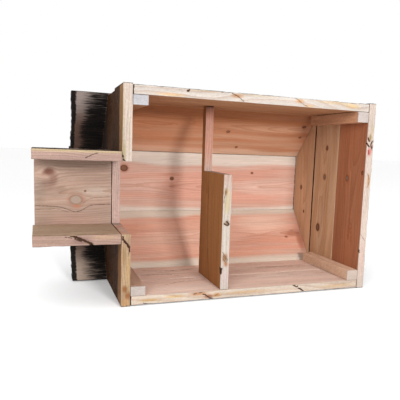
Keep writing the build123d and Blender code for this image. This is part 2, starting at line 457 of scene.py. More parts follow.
def maths(tree, operation, first, second=None, clamp=False):
    """A Math node on sockets or numbers; gives its output socket."""
    node = tree.nodes.new("ShaderNodeMath")
    node.operation = operation
    node.use_clamp = clamp
    for socket, value in zip(node.inputs, (first, second)):
        if isinstance(value, bpy.types.NodeSocket):
            tree.links.new(value, socket)
        elif value is not None:
            socket.default_value = value
    return node.outputs[0]


def added(tree, *terms):
    """The sum of sockets and numbers. A pair is a socket times its weight."""
    total = None
    for term in terms:
        if isinstance(term, tuple):
            term = maths(tree, "MULTIPLY", *term)
        total = term if total is None else maths(tree, "ADD", total, term)
    return total


def sway(tree, noise, strength):
    """Noise moved down by a half, so that it swings about zero, times a strength."""
    return maths(tree, "MULTIPLY", maths(tree, "SUBTRACT", noise, 0.5), strength)


def stretched_noise(tree, vector, stretch, detail):
    """Noise of a vector multiplied axis by axis, so its grains are long one way; gives 0 to 1."""
    scale = add(tree, "ShaderNodeVectorMath", operation="MULTIPLY", in1=stretch)
    noise = add(tree, "ShaderNodeTexNoise", in2=1.0, in3=detail, in4=0.6)
    tree.links.new(vector, scale.inputs[0])
    tree.links.new(scale.outputs[0], noise.inputs["Vector"])
    return noise.outputs[0]


def between(tree, value, low, high):
    """Where a value stands between two limits, from 0 to 1, eased at both ends."""
    node = tree.nodes.new("ShaderNodeMapRange")
    node.interpolation_type = "SMOOTHSTEP"
    node.inputs["From Min"].default_value = low
    node.inputs["From Max"].default_value = high
    tree.links.new(value, node.inputs["Value"])
    return node.outputs["Result"]


def blend_colour(tree, share, first, second, mode="MIX"):
    """A colour Mix node on sockets or colours; gives its output socket."""
    node = add(tree, "ShaderNodeMix", data_type="RGBA", blend_type=mode)
    for socket, value in zip((node.inputs[0], node.inputs[6], node.inputs[7]), (share, first, second)):
        if isinstance(value, bpy.types.NodeSocket):
            tree.links.new(value, socket)
        else:
            socket.default_value = value
    return node.outputs[2]


def make_sawn_grain():
    """Rough-sawn face: late wood darkens towards the end of each growth ring and stops short, with
    long fibres over it, darker knots and the faint kerfs that the saw left across the board."""
    tree, given, out = group_of(
        "sawn_grain",
        [("Grain", "NodeSocketVector"), ("Tint", "NodeSocketColor"), ("Knot", "NodeSocketFloat"),
         ("Ring gap", "NodeSocketFloat"), ("Ring strength", "NodeSocketFloat"),
         ("Fibre strength", "NodeSocketFloat"), ("Knot darkness", "NodeSocketFloat")],
        [("Color", "NodeSocketColor"), ("Height", "NodeSocketFloat")],
    )
    grain, tint, knot, gap, ring_strength, fibre_strength, darkness = given.outputs[:7]
    parts = add(tree, "ShaderNodeSeparateXYZ")
    tree.links.new(grain, parts.inputs[0])
    along, ring = parts.outputs[:2]
    drift = stretched_noise(tree, grain, (2.5, 22, 22), 2)
    streak = stretched_noise(tree, grain, (7, 330, 260), 3)
    fibre = stretched_noise(tree, grain, (45, 1500, 1200), 2)

    phase = maths(tree, "FRACT", added(tree, maths(tree, "DIVIDE", ring, gap), (drift, 2.4)))
    late = maths(tree, "POWER", phase, 2.6)
    late = maths(tree, "MULTIPLY", late, between(tree, phase, 1.0, 0.93))
    late = maths(tree, "MULTIPLY", late, ring_strength)

    late_wood = blend_colour(tree, 1.0, tint, (0.62, 0.40, 0.27, 1), "MULTIPLY")
    colour = blend_colour(tree, late, tint, late_wood)
    shade = sway(tree, streak, fibre_strength)
    level = added(tree, shade, sway(tree, fibre, 0.35), sway(tree, drift, 0.5), 1.0)
    grey = add(tree, "ShaderNodeCombineXYZ")
    for socket in grey.inputs:
        tree.links.new(level, socket)
    colour = blend_colour(tree, 1.0, colour, grey.outputs[0], "MULTIPLY")

    # A knot is a branch cut across: a dark bark ring, and fine rings of its own inside.
    rings = maths(tree, "FRACT", added(tree, (knot, 4.0), drift))
    pale = blend_colour(tree, rings, (0.27, 0.205, 0.165, 1), (0.21, 0.150, 0.115, 1))
    dark = blend_colour(tree, rings, (0.21, 0.085, 0.045, 1), (0.10, 0.038, 0.019, 1))
    knot_wood = blend_colour(tree, darkness, pale, dark)
    ragged = added(tree, knot, sway(tree, streak, 0.5))
    stained = blend_colour(tree, 1.0, colour, (0.78, 0.58, 0.50, 1), "MULTIPLY")
    halo = maths(tree, "MULTIPLY", between(tree, ragged, -0.9, 0.1), 0.6)
    colour = blend_colour(tree, halo, colour, stained)
    colour = blend_colour(tree, between(tree, ragged, 0.0, 0.25), colour, knot_wood)
    bark = maths(tree, "MULTIPLY", between(tree, ragged, -0.15, 0.05), between(tree, ragged, 0.35, 0.1))
    bark = maths(tree, "MULTIPLY", bark, added(tree, (darkness, 0.6), 0.25))
    colour = blend_colour(tree, bark, colour, (0.05, 0.022, 0.011, 1))

    kerf = maths(tree, "SINE", maths(tree, "MULTIPLY", added(tree, along, (drift, 0.01)), 2600))
    height = added(tree, (streak, 0.9), (fibre, 0.5), (late, -0.4), (kerf, 0.10))
    tree.links.new(colour, out.inputs["Color"])
    tree.links.new(height, out.inputs["Height"])
    return tree


def make_flame_char():
    """Scorched face: black, crazed across the grain, with brown wood where it was brushed back."""
    tree, given, out = group_of(
        "flame_char",
        [("Grain", "NodeSocketVector"), ("Brown", "NodeSocketColor"), ("Brownness", "NodeSocketFloat")],
        [("Color", "NodeSocketColor"), ("Height", "NodeSocketFloat")],
    )
    grain, brown, brownness = given.outputs[:3]
    streak = stretched_noise(tree, grain, (9, 420, 260), 4)
    drift = stretched_noise(tree, grain, (6, 30, 30), 3)
    fibre = stretched_noise(tree, grain, (90, 1700, 1400), 2)
    cells = add(tree, "ShaderNodeTexVoronoi", feature="DISTANCE_TO_EDGE", in2=1.0)
    stretch = add(tree, "ShaderNodeVectorMath", operation="MULTIPLY", in1=(90, 0, 190))
    tree.links.new(grain, stretch.inputs[0])
    tree.links.new(stretch.outputs[0], cells.inputs["Vector"])
    crazing = between(tree, cells.outputs["Distance"], 0.0, 0.16)

    brushed = added(tree, (streak, 0.8), (drift, 0.6), maths(tree, "SUBTRACT", brownness, 1.0))
    brushed = between(tree, brushed, -0.15, 0.55)
    shaded = blend_colour(tree, 1.0, brown, (0.35, 0.30, 0.28, 1), "MULTIPLY")
    streaked = blend_colour(tree, between(tree, streak, 0.35, 0.65), shaded, brown)
    colour = blend_colour(tree, brushed, (0.0075, 0.0065, 0.006, 1), streaked)
    colour = blend_colour(tree, maths(tree, "MULTIPLY", fibre, 0.35), colour, (0.0, 0.0, 0.0, 1))
    height = added(tree, (crazing, 0.7), (streak, 1.3))
    tree.links.new(colour, out.inputs["Color"])
    tree.links.new(height, out.inputs["Height"])
    return tree


sawn_grain = make_sawn_grain()
flame_char = make_flame_char()


def timber_material(
    name, ring_gap, ring_strength, fibre_strength, brown=(0.045, 0.024, 0.014), brownness=0.35
):
    """Sawn timber with the flame's char over it where the marks attribute says."""
    material = bpy.data.materials.new(name)
    material.use_nodes = True
    tree = material.node_tree
    shader = tree.nodes["Principled BSDF"]
    shader.inputs["Specular IOR Level"].default_value = 0.08
    grain = add(tree, "ShaderNodeAttribute", attribute_name="grain").outputs["Vector"]
    tint = add(tree, "ShaderNodeAttribute", attribute_name="tint")
    marks = add(tree, "ShaderNodeAttribute", attribute_name="marks").outputs["Vector"]
    parted = add(tree, "ShaderNodeSeparateXYZ")
    tree.links.new(marks, parted.inputs[0])
    knot, char, split = parted.outputs

    sawn = add(tree, "ShaderNodeGroup", node_tree=sawn_grain, in3=ring_gap, in4=ring_strength,
               in5=fibre_strength)
    tree.links.new(grain, sawn.inputs["Grain"])
    tree.links.new(tint.outputs["Color"], sawn.inputs["Tint"])
    tree.links.new(tint.outputs["Alpha"], sawn.inputs["Knot darkness"])
    tree.links.new(knot, sawn.inputs["Knot"])
    burnt = add(tree, "ShaderNodeGroup", node_tree=flame_char, in1=(*brown, 1))
    tree.links.new(grain, burnt.inputs["Grain"])
    brushed_back = maths(tree, "SUBTRACT", char, 1.0, clamp=True)
    tree.links.new(added(tree, (brushed_back, 0.6), brownness), burnt.inputs["Brownness"])

    ragged = stretched_noise(tree, grain, (24, 330, 280), 3)
    scorched = between(tree, added(tree, char, sway(tree, ragged, 1.7)), 0.24, 0.88)
    colour = blend_colour(tree, scorched, sawn.outputs["Color"], burnt.outputs["Color"])
    gap = between(tree, split, 0.1, 0.95)
    colour = blend_colour(tree, gap, colour, (0.035, 0.016, 0.009, 1))
    tree.links.new(colour, shader.inputs["Base Color"])

    tree.links.new(added(tree, (scorched, -0.12), 0.78), shader.inputs["Roughness"])

    bump = add(tree, "ShaderNodeBump")
    bump.inputs["Strength"].default_value = 0.55
    bump.inputs["Distance"].default_value = 0.0012
    height = add(tree, "ShaderNodeMix", data_type="FLOAT")
    tree.links.new(scorched, height.inputs[0])
    tree.links.new(sawn.outputs["Height"], height.inputs[2])
    tree.links.new(burnt.outputs["Height"], height.inputs[3])
    tree.links.new(height.outputs[0], bump.inputs["Height"])
    tree.links.new(bump.outputs["Normal"], shader.inputs["Normal"])
    return material


wall_timber = timber_material("wall_timber", 0.0046, 0.5, 0.5)

# Marks are cracks and bark pockets: a face, a path along it, a width and a depth. Tones are stains,
# and a few are painted shade: a place, a reach each way, a colour and a strength. All lengths are from
# the board's low corner.
left_rim_marks = [
    ("rim", [(0.124, 0.017), (0.127, 0.018)], 0.006, 0.002),
    ("rim", [(0.232, 0.019), (0.247, 0.013), (0.262, 0.003)], 0.0026, 0.0006),
    ("rim", [(0.398, 0.021), (0.409, 0.017), (0.420, 0.009), (0.437, 0.002)], 0.0020, 0.0005),
    ("rim", [(0.205, 0.020), (0.228, 0.0205)], 0.0022, 0.0006),
    ("rim", [(0.530, 0.0215), (0.560, 0.0212), (0.592, 0.0215)], 0.0036, 0.0016),
    ("rim", [(0.055, 0.021), (0.066, 0.0205)], 0.0026, 0.0006),
    ("inner", [(0.5875, 0.022), (0.5890, 0.132)], 0.0050, 0.0006),
]
left_face_lines = [("inner", [(0.5890, 0.000), (0.5885, 0.075)], 0.0060, 0.0006)]
left_rim_tones = [
    ((0.245, 0.014), (0.018, 0.006), (140, 104, 70), 0.8),
    ((0.414, 0.014), (0.014, 0.006), (148, 112, 74), 0.8),
    ((0.440, 0.004), (0.018, 0.004), (158, 128, 92), 0.7),
    ((0.570, 0.012), (0.026, 0.006), (168, 144, 104), 0.8),
    ((0.520, 0.017), (0.060, 0.005), (158, 138, 104), 0.6),
    ((0.085, 0.005), (0.040, 0.004), (168, 140, 100), 0.7),
    ((0.300, 0.018), (0.060, 0.004), (142, 130, 112), 0.5),
    ((0.160, 0.020), (0.040, 0.004), (140, 124, 100), 0.6),
]
right_rim_marks = [
    ("rim", [(0.424, 0.001), (0.434, 0.007), (0.438, 0.006)], 0.0042, 0.003),
    ("rim", [(0.441, 0.012), (0.447, 0.014), (0.455, 0.020)], 0.0048, 0.003),
    ("rim", [(0.176, 0.008), (0.182, 0.010), (0.192, 0.0175), (0.200, 0.020)], 0.0034, 0.001),
    ("rim", [(0.152, 0.006), (0.160, 0.005)], 0.0026, 0.0005),
    ("rim", [(0.166, 0.004), (0.173, 0.003)], 0.0026, 0.0006),
    ("rim", [(0.206, 0.014), (0.216, 0.009)], 0.0022, 0.0004),
    ("rim", [(0.030, 0.018), (0.036, 0.0205), (0.048, 0.021)], 0.0030, 0.0008),
    ("inner", [(0.071, 0.078), (0.100, 0.079), (0.140, 0.096), (0.175, 0.104)], 0.0028, 0.0007),
    ("inner", [(0.176, 0.130), (0.200, 0.107), (0.214, 0.104)], 0.0024, 0.0006),
]
right_rim_tones = [
    ((0.165, 0.006), (0.028, 0.005), (140, 96, 62), 0.8),
    ((0.190, 0.014), (0.014, 0.006), (122, 76, 50), 0.9),
    ((0.212, 0.012), (0.012, 0.006), (150, 108, 62), 0.8),
    ((0.290, 0.010), (0.070, 0.004), (160, 130, 92), 0.6),
    ((0.045, 0.012), (0.030, 0.004), (152, 126, 84), 0.8),
    ((0.105, 0.008), (0.030, 0.004), (158, 132, 88), 0.7),
    ((0.560, 0.012), (0.060, 0.005), (162, 132, 96), 0.6),
]
right_face_lines = [
    ("inner", [(0.073, 0.101), (0.118, 0.086), (0.150, 0.083), (0.215, 0.088)], 0.0042, 0.0008),
    ("inner", [(0.330, 0.075), (0.420, 0.066), (0.560, 0.071)], 0.0026, 0.0006),
    ("inner", [(0.330, 0.045), (0.470, 0.052), (0.610, 0.047)], 0.0022, 0.0004),
    ("inner", [(0.040, 0.052), (0.066, 0.050), (0.101, 0.049), (0.138, 0.042), (0.168, 0.012)],
     0.0030, 0.0008),
    ("inner", [(0.407, 0.065), (0.483, 0.059), (0.577, 0.041)], 0.0018, 0.0003),
]
right_face_tones = [
    ((0.140, 0.050), (0.090, 0.006), (190, 168, 156), 0.7),
    ((0.450, 0.062), (0.160, 0.005), (188, 166, 150), 0.6),
]

for side, outer, marks, lines, tones, heart, sap, rim in (
    ("left", 1, left_rim_marks, left_face_lines, left_rim_tones,
     (160, 116, 84), (170, 134, 104), (153, 145, 138)),
    ("right", -1, right_rim_marks, right_face_lines, right_rim_tones,
     (214, 186, 172), (216, 198, 186), (160, 147, 134)),
):
    board(
        f"{side}_wall_base_board", "house", wall_timber, 0, 1, outer, heart, sap, 11 + outer,
        step=0.003, thick_step=0.0014, strokes=marks, rim_tones=tones, pith=(0.75, 0.03),
        heart_radius=0.1, rim_tint=rim, char_faces=("outer", "low_end", "high_end"),
    )
    low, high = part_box(f"{side}_wall_eaves_board")
    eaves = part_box(f"roof_{side}_board")[0].y
    inner_z, outer_z = (low.z, high.z) if outer > 0 else (high.z, low.z)
    section = [(low.y, inner_z), (high.y, inner_z), (eaves, outer_z), (low.y, outer_z)]
    board(
        f"{side}_wall_eaves_board", "house", wall_timber, 0, 1, outer, heart, sap, 14 + outer,
        section=section, heart_radius=0.09,
        strokes=lines, tones=right_face_tones if outer < 0 else (),
    )

# ------------------------------------------------------------------ the rear wall
# Two full-width courses that cover the side walls' ends, screwed to the rear battens. The upper one
# is paler and knotty, with a strip of sapwood along the joint; the base course is darker heartwood.

eaves_low, eaves_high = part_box("rear_wall_eaves_board")
inner_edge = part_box("left_wall_base_board")[0].z
wall_end = eaves_high.z - eaves_low.z
corner_cut = 1 - (eaves_high.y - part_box("roof_left_board")[0].y) / (eaves_high.y - eaves_low.y)
corner_run = eaves_high.z - inner_edge
upper_edge = ([0, corner_run, wall_end - corner_run, wall_end], [corner_cut, 1, 1, corner_cut])
straight_edge = ([0, 1], [0, 0])
wall_lip = 0.0045

board(
    "rear_wall_base_board", "house", wall_timber, 2, 1, 1, (150, 96, 68), (156, 108, 80), 21,
    step=0.003, thick_step=0.0016, pith=(0.4, 0.06), heart_radius=0.2, rim_tint=(160, 148, 139),
    char_faces=("outer", "low_end", "high_end"), lips=(wall_lip, wall_lip),
    knots=[(0.300, 0.080, 0.006, 0.6), (0.319, 0.012, 0.004, 1.0)],
    strokes=[
        ("rim", [(0.412, 0.004), (0.404, 0.008)], 0.0052, 0.002),
        ("rim", [(0.398, 0.001), (0.392, 0.006), (0.390, 0.009)], 0.0048, 0.002),
        ("rim", [(0.404, 0.017), (0.396, 0.014), (0.389, 0.015), (0.384, 0.021)], 0.0040, 0.0014),
        ("rim", [(0.380, 0.006), (0.370, 0.009)], 0.0030, 0.0008),
        ("rim", [(0.318, 0.010), (0.306, 0.015), (0.292, 0.016), (0.280, 0.010)], 0.0022, 0.0006),
        ("rim", [(0.152, 0.001), (0.142, 0.009), (0.134, 0.016)], 0.0018, 0.0005),
        ("rim", [(0.108, 0.001), (0.100, 0.0015)], 0.0030, 0.0008),
    ],
    rim_tones=[
        ((0.414, 0.010), (0.012, 0.005), (120, 100, 66), 0.9),
        ((0.376, 0.010), (0.012, 0.007), (164, 84, 80), 0.9),
        ((0.388, 0.018), (0.010, 0.005), (110, 66, 60), 0.7),
        ((0.435, 0.014), (0.022, 0.005), (146, 132, 104), 0.6),
        ((0.298, 0.014), (0.022, 0.005), (150, 112, 66), 0.8),
        ((0.250, 0.012), (0.040, 0.006), (146, 132, 122), 0.5),
        ((0.080, 0.012), (0.060, 0.008), (160, 134, 124), 0.6),
    ],
)
board(
    "rear_wall_eaves_board", "house", wall_timber, 2, 1, 1, (176, 138, 106), (192, 164, 136), 22,
    step=0.003, low=straight_edge, high=upper_edge, pith=(0.62, 0.05), heart_radius=0.088,
    char_faces=("outer", "high_edge", "low_end", "high_end"), lips=(wall_lip, wall_lip),
    knots=[(0.384, 0.061, 0.006, 0.9), (0.296, 0.065, 0.007, 0.6), (0.136, 0.087, 0.010, 0.9)],
    strokes=[
        ("inner", [(0.128, 0.083), (0.136, 0.078), (0.146, 0.082), (0.149, 0.089)], 0.0022, 0.0005),
        ("inner", [(0.124, 0.089), (0.132, 0.096), (0.142, 0.095)], 0.0022, 0.0005),
    ],
)

# ------------------------------------------------------------------ the front wall
# A short board each side of the entrance and a notched lintel over it, screwed to the front battens.
# Its outside is scorched dark brown, and a strip of bark is left in the rim beside the entrance.

salmon = (176, 134, 116)
cream = (184, 171, 160)
front_timber = timber_material("front_timber", 0.0042, 0.5, 0.5, (0.062, 0.022, 0.005), 1.0)

board(
    "front_wall_base_board_right", "house", front_timber, 2, 1, -1, salmon, cream, 31, step=0.0028,
    thick_step=0.0014, rim_tint=(131, 111, 88), heart_radius=0.09, raw_rim=0.07,
    outer_tint=(112, 78, 50), char_faces=("outer", "low_end"), lips=(wall_lip, 0),
    strokes=[
        ("rim", [(0.162, 0.019), (0.156, 0.017), (0.148, 0.010), (0.139, 0.004), (0.130, 0.002)],
         0.0058, 0.004),
        ("rim", [(0.133, 0.003), (0.120, 0.006)], 0.0016, 0.0005),
    ],
    rim_tones=[
        ((0.026, 0.006), (0.010, 0.008), (110, 70, 40), 0.9),
        ((0.042, 0.013), (0.010, 0.007), (104, 66, 36), 0.9),
        ((0.010, 0.012), (0.012, 0.010), (146, 112, 78), 0.7),
        ((0.150, 0.004), (0.020, 0.005), (118, 98, 80), 0.8),
        ((0.120, 0.016), (0.030, 0.005), (112, 88, 62), 0.7),
        ((0.085, 0.006), (0.040, 0.005), (146, 120, 84), 0.6),
    ],
)
board(
    "front_wall_base_board_left", "house", front_timber, 2, 1, -1, salmon, cream, 32, step=0.0028,
    thick_step=0.0014, rim_tint=(150, 139, 130), heart_radius=0.09, raw_rim=0.07,
    outer_tint=(124, 92, 60), char_faces=("outer", "high_end"), lips=(0, wall_lip),
    rim_tones=[
        ((0.02, 0.018), (0.03, 0.004), (118, 108, 74), 0.8),
        ((0.09, 0.020), (0.08, 0.003), (126, 114, 84), 0.6),
        ((0.06, 0.008), (0.05, 0.005), (142, 128, 112), 0.5),
    ],
    strokes=[
        ("rim", [(0.002, 0.017), (0.005, 0.019)], 0.005, 0.002),
        ("rim", [(0.010, 0.020), (0.014, 0.0205)], 0.004, 0.001),
    ],
)
lintel_low, lintel_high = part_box("front_wall_lintel_board")
lintel_length = lintel_high.z - lintel_low.z
mouth_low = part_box("tunnel_right_board")[1].z - lintel_low.z
mouth_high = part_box("tunnel_left_board")[0].z - lintel_low.z
notch_share = (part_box("tunnel_roof_board")[0].y - lintel_low.y) / (lintel_high.y - lintel_low.y)
jump = 0.0006
lower_edge = (
    [0, mouth_low - jump, mouth_low, mouth_high, mouth_high + jump, lintel_length],
    [0, 0, notch_share, notch_share, 0, 0],
)
left_run = lintel_high.z - inner_edge
upper_lintel_edge = (
    [0, corner_run, lintel_length - left_run, lintel_length],
    [corner_cut, 1, 1, 1 - (1 - corner_cut) * left_run / corner_run],
)
board(
    "front_wall_lintel_board", "house", front_timber, 2, 1, -1, (151, 128, 120), (160, 140, 130), 33,
    step=0.003, low=lower_edge, high=upper_lintel_edge, heart_radius=0.2,
    ramps=[(mouth_low - jump, mouth_low, 12), (mouth_high, mouth_high + jump, 12)],
    char_faces=("outer", "low_end", "high_end", "high_edge"), lips=(wall_lip, wall_lip),
)

# ------------------------------------------------------------------ the corner battens
# A square batten in each corner that the wall boards are screwed to. Their sawn ends are pale.

batten_timber = timber_material("batten_timber", 0.0036, 0.4, 0.45)

for name, seed, wood, end in (
    ("front_left_batten", 41, (158, 118, 88), (141, 140, 143)),
    ("front_right_batten", 42, (176, 146, 126), (146, 138, 132)),
    ("rear_left_batten", 43, (178, 134, 104), (146, 138, 134)),
    ("rear_right_batten", 44, (197, 166, 141), (152, 139, 130)),
):
    board(
        name, "house", batten_timber, 1, 0, 1, wood, wood, seed, step=0.004, thick_step=0.003,
        edge=0.0012, char_faces=(), end_tint=end, pith=(0.5, 0.03),
    )

# ------------------------------------------------------------------ the partition
# One wide board across the box, screwed through the right wall, and cut away beside the left one to
# make the inner doorway. Its rim has a yellow-green stain, a bark spot and a hatched brown patch, and
# painted shade towards its top end, where it meets the upper wall.

partition_timber = timber_material("partition_timber", 0.0060, 0.45, 0.4)
part_low, part_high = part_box("partition_board")
sill = 0.284
door_share = 0.863
door_edge = ([0, sill, sill + jump, part_high.z - part_low.z], [0, 0, door_share, door_share])
board(
    "partition_board", "house", partition_timber, 2, 1, 1, (136, 90, 53), (146, 100, 62), 51,
    step=0.003, thick_step=0.0015, low=door_edge, high=([0, 1], [1, 1]), char_faces=(),
    ramps=[(sill, sill + jump, 40)], pith=(0.55, 0.08), heart_radius=0.2, rim_tint=(149, 142, 134),
    strokes=[
        ("inner", [(0.043, 0.004), (0.052, 0.006)], 0.011, 0.001),
        ("inner", [(0.000, 0.088), (0.105, 0.105), (0.211, 0.112), (0.284, 0.114)], 0.0028, 0.0005),
        ("rim", [(0.165, 0.005), (0.161, 0.011), (0.163, 0.018), (0.170, 0.011)], 0.0036, 0.0010),
        ("rim", [(0.094, 0.004), (0.086, 0.009), (0.074, 0.018)], 0.0022, 0.0005),
        ("rim", [(0.086, 0.005), (0.078, 0.011), (0.070, 0.017)], 0.0020, 0.0005),
        ("rim", [(0.078, 0.005), (0.068, 0.013)], 0.0018, 0.0005),
        ("rim", [(0.044, 0.000), (0.052, 0.002)], 0.008, 0.001),
        ("rim", [(0.243, 0.006), (0.232, 0.004), (0.215, 0.002)], 0.0024, 0.0004),
    ],
    rim_tones=[
        ((0.212, 0.011), (0.026, 0.008), (149, 138, 106), 0.8),
        ((0.242, 0.007), (0.010, 0.005), (112, 88, 48), 0.9),
        ((0.236, 0.014), (0.016, 0.006), (156, 140, 110), 0.6),
        ((0.166, 0.012), (0.008, 0.007), (96, 74, 50), 0.8),
        ((0.080, 0.010), (0.013, 0.008), (120, 84, 52), 0.9),
        ((0.064, 0.013), (0.008, 0.006), (128, 84, 50), 0.9),
        ((0.030, 0.012), (0.030, 0.012), (160, 146, 142), 0.7),
        ((0.400, 0.011), (0.145, 0.060), (146, 108, 94), 1.0),
        # The last two rim tones are painted shade: they darken the rim towards its top end, where it
        # meets the upper wall.
        ((0.440, 0.011), (0.020, 0.060), (110, 66, 50), 0.6),
        ((0.456, 0.011), (0.005, 0.060), (52, 30, 22), 0.95),
    ],
)

# ------------------------------------------------------------------ the entrance tunnel
# Two side boards and a roof board, butted to the front wall and screwed from inside it. They have
# weathered greyer than the rest, with a round knot and a stain on the roof board.

tunnel_timber = timber_material("tunnel_timber", 0.0056, 0.45, 0.75)

board(
    "tunnel_left_board", "house", tunnel_timber, 0, 1, 1, (140, 116, 104), (150, 134, 112), 61,
    step=0.0022, thick_step=0.0014, pith=(0.0, 0.03), heart_radius=0.0465, rim_tint=(134, 112, 103),
    strokes=[
        ("rim", [(0.108, 0.006), (0.116, 0.010), (0.126, 0.015), (0.134, 0.017)], 0.0024, 0.0006),
        ("rim", [(0.000, 0.0240), (0.190, 0.0240)], 0.0034, 0.0004),
    ],
    rim_tones=[((0.09, 0.0205), (0.20, 0.0042), (146, 130, 104), 0.9)],
)
board(
    "tunnel_right_board", "house", tunnel_timber, 0, 1, -1, (158, 134, 112), (160, 140, 120), 62,
    step=0.0022, thick_step=0.0014, pith=(0.2, 0.05), heart_radius=0.2, rim_tint=(133, 110, 100),
    strokes=[
        ("rim", [(0.079, 0.001), (0.088, 0.004), (0.103, 0.011), (0.122, 0.021)], 0.0062, 0.004),
        ("rim", [(0.086, 0.008), (0.100, 0.014)], 0.0030, 0.0008),
        ("rim", [(0.066, 0.003), (0.080, 0.006)], 0.0022, 0.0005),
        ("inner", [(0.000, 0.016), (0.060, 0.012), (0.120, 0.014), (0.184, 0.012)], 0.0050, 0.0006),
        ("inner", [(0.000, 0.060), (0.090, 0.056), (0.184, 0.061)], 0.0040, 0.0006),
    ],
    rim_tones=[
        ((0.15, 0.006), (0.035, 0.006), (146, 122, 100), 0.7),
        ((0.10, 0.012), (0.024, 0.008), (104, 80, 76), 0.7),
        ((0.04, 0.012), (0.040, 0.008), (124, 104, 92), 0.6),
    ],
)
board(
    "tunnel_roof_board", "house", tunnel_timber, 0, 2, 1, (138, 115, 103), (150, 130, 116), 63,
    step=0.0025, pith=(0.45, 0.03), lean=(0.08, 0.05), heart_radius=0.11,
    knots=[(0.096, 0.084, 0.012, 0.0), (0.032, 0.150, 0.014, None), (0.118, 0.106, 0.0022, 1.0)],
    tones=[
        ((0.098, 0.088), (0.010, 0.012), (150, 130, 120), 0.6),
        ((0.112, 0.090), (0.006, 0.014), (150, 122, 108), 0.6),
        ((0.098, 0.068), (0.012, 0.006), (156, 110, 84), 0.6),
        ((0.034, 0.152), (0.016, 0.011), (92, 60, 50), 0.9),
        ((0.044, 0.134), (0.012, 0.018), (104, 76, 66), 0.7),
        ((0.030, 0.122), (0.018, 0.016), (104, 80, 70), 0.7),
        ((0.040, 0.100), (0.030, 0.016), (120, 96, 84), 0.5),
        ((0.060, 0.112), (0.016, 0.010), (118, 96, 82), 0.5),
        ((0.012, 0.105), (0.016, 0.040), (112, 98, 88), 0.6),
        ((0.020, 0.050), (0.030, 0.060), (126, 106, 92), 0.4),
        ((0.140, 0.105), (0.040, 0.014), (152, 136, 124), 0.6),
        ((0.090, 0.030), (0.080, 0.022), (148, 118, 106), 0.7),
        ((0.070, 0.008), (0.070, 0.007), (146, 110, 94), 0.6),
    ],
    strokes=[
        ("inner", [(0.000, 0.070), (0.054, 0.067), (0.077, 0.060), (0.092, 0.0545), (0.107, 0.0565),
                   (0.121, 0.065), (0.134, 0.0705), (0.149, 0.0715), (0.178, 0.0725)], 0.0024, 0.0004),
        ("inner", [(0.000, 0.061), (0.030, 0.0605), (0.050, 0.062), (0.078, 0.054)], 0.0020, 0.0001),
        ("inner", [(0.112, 0.076), (0.134, 0.088), (0.178, 0.092)], 0.0020, 0.0001),
    ],
)

# ------------------------------------------------------------------ the roof boards
# Three wide boards, mitred along the seams and screwed to the gables. Inside they are pink heartwood
# with cream sapwood along the seams, and the left one has painted shade along its eaves. Outside, at
# their ends, and where they stand past the front wall, they are charred.

roof_timber = timber_material("roof_timber", 0.0040, 0.5, 0.45, (0.050, 0.030, 0.024), 0.28)
front_overhang = 0.094
roof_lips = (edge_band, edge_band + 0.025)

ridge_low, ridge_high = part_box("roof_ridge_board")
left_low, left_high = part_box("roof_left_board")
right_low, right_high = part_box("roof_right_board")
left_section = [
    (left_low.y, left_high.z), (ridge_low.y, left_low.z),
    (ridge_high.y, ridge_high.z), (left_low.y, left_high.z),
]
right_section = [
    (right_low.y, right_low.z), (ridge_low.y, right_high.z),
    (ridge_high.y, ridge_low.z), (right_low.y, right_low.z),
]
ridge_section = [
    (ridge_low.y, right_high.z), (ridge_low.y, left_low.z),
    (ridge_high.y, ridge_high.z), (ridge_high.y, ridge_low.z),
]
for section in (left_section, right_section):
    eaves, seam = np.array(section[0]), np.array(section[1])
    slope = (seam - eaves) / np.linalg.norm(seam - eaves)
    section[3] = (eaves[0] + board_thickness / abs(slope[1]), eaves[1])

left_seam = np.hypot(*np.subtract(left_section[1], left_section[0])) - 0.0006
gable_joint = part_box("rear_gable_board")[0].x - ridge_low.x - 0.0009
board(
    "roof_left_board", "roof", roof_timber, 0, 1, 1, (164, 112, 82), (184, 152, 128), 71,
    section=left_section, step=0.0034, pith=(0.42, 0.03), heart_radius=0.098,
    knots=[
        (0.461, 0.110, 0.0045, 0.8), (0.507, 0.172, 0.0035, 0.9),
        (0.711, 0.074, 0.005, 0.9), (0.715, 0.118, 0.004, 0.8),
    ],
    tones=[
        # The first two tones are painted shade: a darker band along the eaves, where the upper wall's
        # shadow falls.
        ((0.300, 0.020), (0.400, 0.070), (138, 84, 52), 0.75),
        ((0.560, 0.030), (0.300, 0.060), (140, 88, 56), 0.6),
        ((0.250, 0.190), (0.300, 0.030), (190, 146, 122), 0.5),
    ],
    strokes=[("inner", [(0.094, left_seam), (0.785, left_seam)], 0.0034, 0.0008)],
    char_faces=("outer", "low_end", "high_end", "low_edge", "high_seam"), lips=roof_lips,
    overhang=front_overhang, bleach=(139, 127, 122), worn=(0.0, 0.005),
)
board(
    "roof_ridge_board", "roof", roof_timber, 0, 2, 1, (183, 138, 121), (190, 178, 167), 72,
    section=ridge_section, step=0.0034, pith=(0.43, 0.03), heart_radius=0.0700, banding=0.3,
    knots=[
        (0.305, 0.100, 0.0050, 1.0), (0.158, 0.129, 0.009, 0.9), (0.576, 0.122, 0.0035, 0.9),
    ],
    tones=[
        ((0.158, 0.129), (0.014, 0.014), (168, 104, 84), 0.7),
        ((0.306, 0.078), (0.010, 0.010), (160, 106, 84), 0.5),
        ((0.300, 0.112), (0.040, 0.006), (166, 112, 90), 0.5),
    ],
    strokes=[("inner", [(gable_joint, 0.002), (gable_joint, left_low.z - right_high.z)], 0.0028, 0.0006)],
    char_faces=("outer", "low_end", "high_end", "low_seam", "high_seam"), lips=roof_lips,
    overhang=front_overhang,
)
